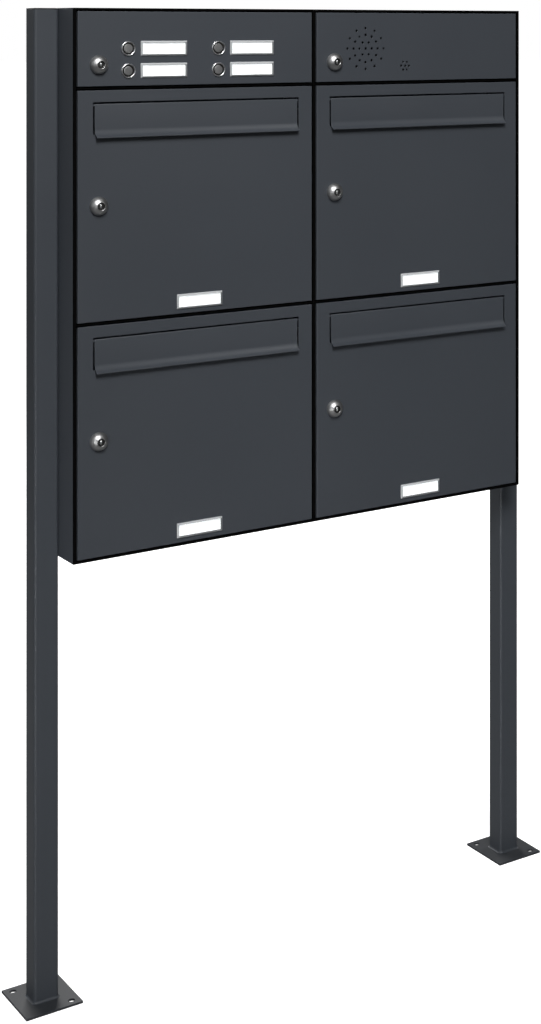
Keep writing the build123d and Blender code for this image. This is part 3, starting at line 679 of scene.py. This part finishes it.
def key_shutter(mesh, x, y, z):
    """Sprung steel dust shutter that closes the keyway: a bar with a round front and rounded ends."""
    half = KEY_WIDTH / 2 - 0.1 * MM
    depth = 1.2 * MM
    reach = KEY_HEIGHT / 2 - 0.4 * MM
    front_steps = 8
    front_turns = [math.pi * i / front_steps for i in range(front_steps + 1)]
    section = [(half * math.cos(t), -half * math.sin(t)) for t in front_turns]
    section += [(-half, depth), (half, depth)]
    heights_and_sizes = ((-1.0, 0.55), (-0.85, 0.85), (-0.6, 1.0), (0.6, 1.0), (0.85, 0.85), (1.0, 0.55))
    loops = []
    for height, size in heights_and_sizes:
        outline = [(size * a, size * b if b < 0 else b) for a, b in section]
        loops.append([Vector((x + a, y + half + b, z + reach * height)) for a, b in outline])
    loft(mesh, loops, SHUTTER)


# ---- bell pushes --------------------------------------------------------------------------------


def bell_ring(number):
    """Polished ring with a threaded barrel behind the panel and its nut."""
    centre = middle(f"bell_push_{number}")
    x, z = centre.x, centre.z
    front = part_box("bell_bezels")[0].y
    outer, inner, barrel, wide = 10.25 * MM, 8.7 * MM, 9.2 * MM, 8.0 * MM
    back = DOOR_FRONT + 12.0 * MM
    thread_end = DOOR_FRONT + 5.0 * MM
    well = DOOR_FRONT + 1.2 * MM
    profile = threaded(wide, barrel, back, thread_end, 0.8 * MM, 0.3 * MM, 0.3 * MM)
    profile += [(barrel, DOOR_FRONT), (outer - 0.1 * MM, DOOR_FRONT), (outer, DOOR_FRONT - 0.15 * MM)]
    crest = (outer + inner) / 2
    half = (outer - inner) / 2
    rise = DOOR_FRONT - front
    side_share = 0.62  # share of the rise that is the ring's straight side; the rest is its round
    crest_steps = 8
    for i in range(crest_steps + 1):
        turn = math.pi * i / crest_steps
        height = rise * (side_share + (1 - side_share) * math.sin(turn))
        profile.append((crest + half * math.cos(turn), DOOR_FRONT - height))
    profile += [(inner, well), (wide, well + 0.2 * MM)]
    mesh = bmesh.new()
    turned(mesh, x, z, profile, closed=True)
    nut(mesh, x, z, 22.0 * MM, barrel + NUT_PLAY, 3.0 * MM)
    finish_piece(f"bell_ring_{number}", mesh, "bell_door_leaf", "polished_steel", ("bell_bezels",))


def bell_well(number):
    """Black plastic sleeve between the ring and the cap, which guides the cap."""
    centre = middle(f"bell_push_{number}")
    x, z = centre.x, centre.z
    bore, outer, wide = 6.6 * MM, 8.6 * MM, 7.8 * MM
    rim = DOOR_FRONT - 0.2 * MM
    back = DOOR_FRONT + 4.0 * MM
    profile = [(bore, rim + 0.3 * MM), (bore + 0.3 * MM, rim), (outer - 0.5 * MM, rim)]
    profile += [(outer, rim + 0.5 * MM), (outer, DOOR_FRONT + 1.1 * MM), (wide, DOOR_FRONT + 1.3 * MM)]
    profile += [(wide, back), (bore, back)]
    mesh = bmesh.new()
    turned(mesh, x, z, profile, closed=True)
    finish_piece(f"bell_well_{number}", mesh, "bell_door_leaf", "black_plastic", ("bell_bezels",))


def bell_cap(number):
    """Push cap: softly domed disc with turned grooves, its flange and its stem."""
    low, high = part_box(f"bell_push_{number}")
    centre = (low + high) / 2
    x, z = centre.x, centre.z
    radius, flange, stem = 6.5 * MM, 7.6 * MM, 2.0 * MM
    front = low.y
    flange_front, flange_back = DOOR_FRONT + 4.1 * MM, DOOR_FRONT + 5.5 * MM
    groove_depth = 0.09 * MM
    dome_fall = 0.12 * MM
    disc = 0.86 * radius  # the grooved part
    rings = 7
    profile = []
    for i in range(1, rings + 1):
        share = i / rings
        groove = groove_depth if i % 2 else 0.0
        profile.append((disc * share, front + dome_fall * share * share + groove))
    profile += [(radius - 0.45 * MM, front + 0.2 * MM), (radius - 0.12 * MM, front + 0.35 * MM)]
    profile += [(radius, front + 0.7 * MM), (radius, flange_front), (flange, flange_front)]
    profile += [(flange, flange_back), (stem, flange_back)]
    profile += [(stem, high.y - 0.3 * MM), (stem - 0.3 * MM, high.y)]
    mesh = bmesh.new()
    turned(mesh, x, z, profile)
    finish_piece(f"bell_cap_{number}", mesh, f"bell_button_{number}", "push_grey", (f"bell_push_{number}",))


# ---- name plates --------------------------------------------------------------------------------

PLATE = (70.0 * MM, 21.5 * MM)
PLATE_CORNER = 0.9 * MM
PLATE_PROUD = 3.0 * MM
PLATE_BEVEL = 2.2 * MM
CARD_MARGIN = 2.6 * MM
CARD_CORNER = 0.6 * MM
CARD_THICKNESS = 0.6 * MM
BELL_PLATE_OFFSET = 53.5 * MM
WELD_DISTANCE = 0.01 * MM  # points closer than this are made one


def plate_loop(x, z, inset, proud, corner=PLATE_CORNER):
    """Points round a name plate, this far inside its outline and in front of the door."""
    left_over = max(corner - inset / 2, 0.15 * MM)
    outline = rounded_rectangle(PLATE[0] - 2 * inset, PLATE[1] - 2 * inset, left_over, 4)
    return [Vector((x + a, DOOR_FRONT - proud, z + b)) for a, b in outline]


def open_shell(mesh, loops):
    """A loft in the edge material, with a clear last face and without its first."""
    faces = loft(mesh, loops, material=1)
    faces[-1].material_index = 0
    bmesh.ops.delete(mesh, geom=[faces[-2]], context="FACES_ONLY")


def name_window(name, body, centre, stands_for):
    """Clear bevelled cover over a card: window on top, bevels with a painted sheen round it, hollow behind.
    """
    x, z = centre
    step = PLATE_PROUD - PLATE_BEVEL
    inner = CARD_MARGIN - 0.15 * MM
    mesh = bmesh.new()
    shell = [plate_loop(x, z, 0.0, 0.0), plate_loop(x, z, 0.0, step - 0.1 * MM)]
    shell += [plate_loop(x, z, 0.15 * MM, step + 0.15 * MM)]
    shell += [plate_loop(x, z, PLATE_BEVEL - 0.2 * MM, PLATE_PROUD - 0.12 * MM)]
    shell += [plate_loop(x, z, PLATE_BEVEL + 0.1 * MM, PLATE_PROUD)]
    open_shell(mesh, shell)
    hollow = [plate_loop(x, z, 0.0, 0.0), plate_loop(x, z, inner, 0.0)]
    hollow += [plate_loop(x, z, inner, CARD_THICKNESS + 0.1 * MM)]
    open_shell(mesh, hollow)
    bmesh.ops.remove_doubles(mesh, verts=mesh.verts, dist=WELD_DISTANCE)
    materials = (MATERIALS["clear_plastic"], WINDOW_EDGE_PAINTED_SHEEN)
    finish_piece(name, mesh, body, "clear_plastic", stands_for, materials, smooth_angle=20.0)


def name_insert(name, body, centre, stands_for):
    """Blank white card behind the window, with soft cut edges."""
    x, z = centre
    soft = 0.12 * MM
    loops = [plate_loop(x, z, CARD_MARGIN, 0.02 * MM, CARD_CORNER)]
    loops += [plate_loop(x, z, CARD_MARGIN, CARD_THICKNESS - soft, CARD_CORNER)]
    loops += [plate_loop(x, z, CARD_MARGIN + soft, CARD_THICKNESS, CARD_CORNER)]
    mesh = bmesh.new()
    loft(mesh, loops)
    finish_piece(name, mesh, body, "white_card", stands_for)


def name_plates():
    """All name plates: one on each mail door, and four beside the bell pushes."""
    for cell in MAIL_CELLS:
        at = middle(f"{cell}_name_cover")
        name_window(f"{cell}_name_window", f"{cell}_door_leaf", (at.x, at.z), (f"{cell}_name_cover",))
        name_insert(f"{cell}_name_insert", f"{cell}_door_leaf", (at.x, at.z), (f"{cell}_name_card",))
    for number in BELLS:
        at = middle(f"bell_push_{number}")
        centre = (at.x + BELL_PLATE_OFFSET, at.z)
        name_window(f"bell_name_window_{number}", "bell_door_leaf", centre, ("bell_name_covers",))
        name_insert(f"bell_name_insert_{number}", "bell_door_leaf", centre, ("bell_name_cards",))


# ---- posts --------------------------------------------------------------------------------------

POST_CORNER = 4.0 * MM


def post_loop(post, z, grow):
    """Points round a post's square section, this far outside it."""
    low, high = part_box(post)
    centre = (low + high) / 2
    width, depth = high.x - low.x + 2 * grow, high.y - low.y + 2 * grow
    outline = rounded_rectangle(width, depth, POST_CORNER + grow)
    return [Vector((centre.x + a, centre.y + b, z)) for a, b in outline]


def post_cap(side):
    """Plastic cap with a softened rim, a shallow dished top and a plug inside the tube."""
    post = f"{side}_post"
    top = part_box("post_caps")[1].z
    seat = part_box(post)[1].z
    heights_and_growth = (
        (seat - 12.0 * MM, -2.6 * MM),
        (seat - 0.1 * MM, -2.2 * MM),
        (seat + 0.02 * MM, -0.3 * MM),
        (seat + 0.35 * MM, 0.0),
        (top - 0.8 * MM, 0.0),
        (top - 0.25 * MM, -0.25 * MM),
        (top, -0.9 * MM),
        (top, -3.0 * MM),
        (top - 0.3 * MM, -3.6 * MM),
    )
    mesh = bmesh.new()
    loft(mesh, [post_loop(post, z, grow) for z, grow in heights_and_growth])
    finish_piece(f"{side}_post_cap", mesh, "frame", "black_plastic", ("post_caps",))


def foot_weld(side):
    """Painted weld bead where a post meets its base plate, with the ripple of a hand weld."""
    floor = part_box("base_plates")[1].z
    leg = 2.6 * MM  # width of the bead on plate and post
    toe = 0.15 * MM
    root = -0.3 * MM  # the bead starts this far inside the post
    sink = -0.2 * MM
    section = [(root, sink), (leg, sink), (leg, toe)]
    hollow_steps = 5
    for i in range(1, hollow_steps):
        turn = math.pi / 2 * i / hollow_steps
        out = leg * (1 - math.sin(turn)) * 0.9 + 0.1 * MM
        up = leg * (1 - math.cos(turn)) * 0.9 + toe
        section.append((out, up))
    section += [(0.1 * MM, leg), (root, leg)]
    loops = []
    for out, up in section:
        loop = densify(post_loop(f"{side}_post", floor + up, out))
        loops.append([rippled(p, i, out, up) for i, p in enumerate(loop)])
    mesh = bmesh.new()
    loft(mesh, loops, closed=True)
    finish_piece(f"{side}_foot_weld", mesh, "frame", "anthracite")


def densify(loop):
    """Adds points along a loop's long sides, so that they can ripple."""
    long_side = 5 * MM
    count = 24
    points = []
    for i, point in enumerate(loop):
        following = loop[(i + 1) % len(loop)]
        points.append(point)
        if (following - point).length > long_side:
            points += [point.lerp(following, k / count) for k in range(1, count)]
    return points


def rippled(point, index, out, up):
    """Lifts or sinks a weld's surface point by a fraction of a millimetre."""
    hidden = out < 0 or up < 0.1 * MM
    if hidden:
        return point
    ripple = 0.16 * MM
    step = 1.9  # radians from one point to the next
    return point + Vector((0, 0, ripple * math.sin(index * step)))


# ---- casing fixings -----------------------------------------------------------------------------

RIVET_RADIUS = 3.1 * MM
RIVET_HEIGHT = 1.0 * MM


def rivet(mesh, centre, out):
    """A pop rivet's low domed head with the hole its pin leaves, standing out along a direction."""
    across = out.orthogonal().normalized()
    other = out.cross(across)
    head = (
        (RIVET_RADIUS, -0.2 * MM),
        (RIVET_RADIUS, 0.15 * MM),
        (RIVET_RADIUS * 0.86, 0.5 * RIVET_HEIGHT),
        (RIVET_RADIUS * 0.6, 0.88 * RIVET_HEIGHT),
        (RIVET_RADIUS * 0.38, RIVET_HEIGHT),
        (RIVET_RADIUS * 0.3, 0.95 * RIVET_HEIGHT),
        (RIVET_RADIUS * 0.26, 0.45 * RIVET_HEIGHT),
    )
    turns = full_turn(ROD_ROUND)
    loops = []
    for radius, height in head:
        rim = [(across * math.cos(t) + other * math.sin(t)) * radius for t in turns]
        loops.append([centre + out * height + offset for offset in rim])
    loft(mesh, loops)


def casing_rivets():
    """Rivets that hold the rear tray: a column up each side wall, and a row under the floor."""
    y = CASING_BACK - 6.0 * MM
    rows = 7
    columns = 6
    margin = 30.0 * MM
    mesh = bmesh.new()
    for side in (-1, 1):
        for i in range(rows):
            z = CASING_LOW + margin + (CASING_HIGH - CASING_LOW - 2 * margin) * i / (rows - 1)
            rivet(mesh, Vector((side * SIDE_X, y, z)), Vector((side, 0, 0)))
    for i in range(columns):
        x = -SIDE_X + margin + 2 * (SIDE_X - margin) * i / (columns - 1)
        rivet(mesh, Vector((x, y, CASING_LOW)), Vector((0, 0, -1)))
    finish_piece("casing_rivets", mesh, "frame", "casing_grey")


# ---- the whole object ---------------------------------------------------------------------------

for cell in MAIL_CELLS:
    letter_flap(cell)
for cell in CELLS:
    lock_body(cell)
    lock_core(cell)
for number in BELLS:
    bell_ring(number)
    bell_well(number)
    bell_cap(number)
name_plates()
for side in ("left", "right"):
    post_cap(side)
    foot_weld(side)
casing_rivets()


# ---- studio -------------------------------------------------------------------------------------


def studio_world():
    """White to the camera. What lights the object is brightest from the left and dimmer from above."""
    world = bpy.data.worlds.new("studio")
    bpy.context.scene.world = world
    world.use_nodes = True
    nodes, links = world.node_tree.nodes, world.node_tree.links
    backdrop = nodes["Background"]
    fill(backdrop, ("Color", "Strength"), ((1, 1, 1, 1), 1.0))
    room = nodes.new("ShaderNodeBackground")
    room.inputs["Color"].default_value = (0.95, 0.98, 1.0, 1)
    toward = nodes.new("ShaderNodeSeparateXYZ")
    links.new(nodes.new("ShaderNodeTexCoord").outputs["Generated"], toward.inputs["Vector"])
    product = nodes.new("ShaderNodeMath")
    product.operation = "MULTIPLY"
    left_to_right = ("X", (-0.5, 0.25), (0.50, 0.02))
    low_to_high = ("Z", (0.0, 0.8), (1.0, 0.35))
    for i, (axis, span, levels) in enumerate((left_to_right, low_to_high)):
        fade = nodes.new("ShaderNodeMapRange")
        fill(fade, RANGE_FIELDS, span + levels)
        links.new(toward.outputs[axis], fade.inputs["Value"])
        links.new(fade.outputs["Result"], product.inputs[i])
    links.new(product.outputs["Value"], room.inputs["Strength"])
    seen = nodes.new("ShaderNodeLightPath")
    blend = nodes.new("ShaderNodeMixShader")
    links.new(seen.outputs["Is Camera Ray"], blend.inputs["Fac"])
    links.new(room.outputs["Background"], blend.inputs[1])
    links.new(backdrop.outputs["Background"], blend.inputs[2])
    links.new(blend.outputs["Shader"], nodes["World Output"].inputs["Surface"])


def floor_material():
    """Pale glow with a soft contact shadow for the camera, and a dim floor for the light."""
    s = Shading("pale_floor")
    distance = s.nodes.new("ShaderNodeVectorMath")
    distance.operation = "LENGTH"
    s.links.new(s.place, distance.inputs[0])
    glow = s.remap(distance.outputs["Value"], (0.5, 5.0), (0.78, 1.05))
    s.set(Base_Color=grey(0.8), Roughness=0.9, Specular_IOR_Level=0.0)
    s.set(Emission_Color=grey(1.0), Emission_Strength=glow)
    dim = s.nodes.new("ShaderNodeBsdfDiffuse")
    dim.inputs["Color"].default_value = grey(0.30)
    seen = s.nodes.new("ShaderNodeLightPath").outputs["Is Camera Ray"]
    s.blend(seen, dim.outputs["BSDF"], s.shader.outputs["BSDF"])
    return s.material


def studio_floor():
    """Large pale floor, a hair below the base plates."""
    mesh = bmesh.new()
    bmesh.ops.create_circle(mesh, cap_ends=True, radius=80.0, segments=64)
    data = bpy.data.meshes.new("floor")
    mesh.to_mesh(data)
    mesh.free()
    data.materials.append(floor_material())
    floor = bpy.data.objects.new("floor", data)
    bpy.context.scene.collection.objects.link(floor)
    floor.location.z = -0.5 * MM


def softbox(name, place, target, size, power, spread=180):
    """An area light aimed at a point; a spread under 180 degrees narrows its beam."""
    light = bpy.data.lights.new(name, "AREA")
    light.shape = "RECTANGLE"
    light.size, light.size_y = size
    light.energy = power
    light.spread = math.radians(spread)
    lamp = bpy.data.objects.new(name, light)
    bpy.context.scene.collection.objects.link(lamp)
    lamp.location = place
    lamp.rotation_euler = (Vector(target) - Vector(place)).to_track_quat("-Z", "Y").to_euler()
    lamp.visible_camera = False


CAMERA_PLACE = (-1.3598, -2.6230, 1.3704)
CAMERA_YAW = 38.58
CAMERA_LENS = 66.44
CAMERA_SHIFT = {"shift_x": -0.3923, "shift_y": -0.4717}


def photo_camera():
    """Level camera in front of the left side.

    The lens shift holds only at this place, so that views from other places stay centred.
    """
    data = bpy.data.cameras.new("camera")
    data.lens = CAMERA_LENS
    data.clip_end = 200.0
    camera = bpy.data.objects.new("camera", data)
    bpy.context.scene.collection.objects.link(camera)
    camera.location = CAMERA_PLACE
    camera.rotation_euler = (math.radians(90), 0, -math.radians(CAMERA_YAW))
    for field, shift in CAMERA_SHIFT.items():
        driver = data.driver_add(field).driver
        where = driver.variables.new()
        where.name = "x"
        where.type = "TRANSFORMS"
        where.targets[0].id = camera
        where.targets[0].transform_type = "LOC_X"
        where.targets[0].transform_space = "WORLD_SPACE"
        driver.expression = f"{shift} if abs(x - {CAMERA_PLACE[0]}) < 0.001 else 0"
    bpy.context.scene.camera = camera


studio_world()
studio_floor()
softbox("key", (-1.0, -2.9, 3.8), (0, 0, 1.35), (1.6, 1.6), 22, 52)
softbox("front", (0.4, -3.6, 1.8), (0, 0, 0.9), (1.6, 1.6), 3)
softbox("low_fill", (-2.2, -2.4, 0.35), (0, 0, 0.35), (1.2, 0.4), 1.5, 30)
softbox("back", (0.4, 3.4, 2.4), (0, 0, 1.0), (2.0, 2.0), 80)
softbox("right_side", (3.2, 0.7, 1.7), (0.4, 0, 0.9), (1.2, 1.8), 30)
photo_camera()
bpy.context.scene.view_settings.view_transform = "Standard"
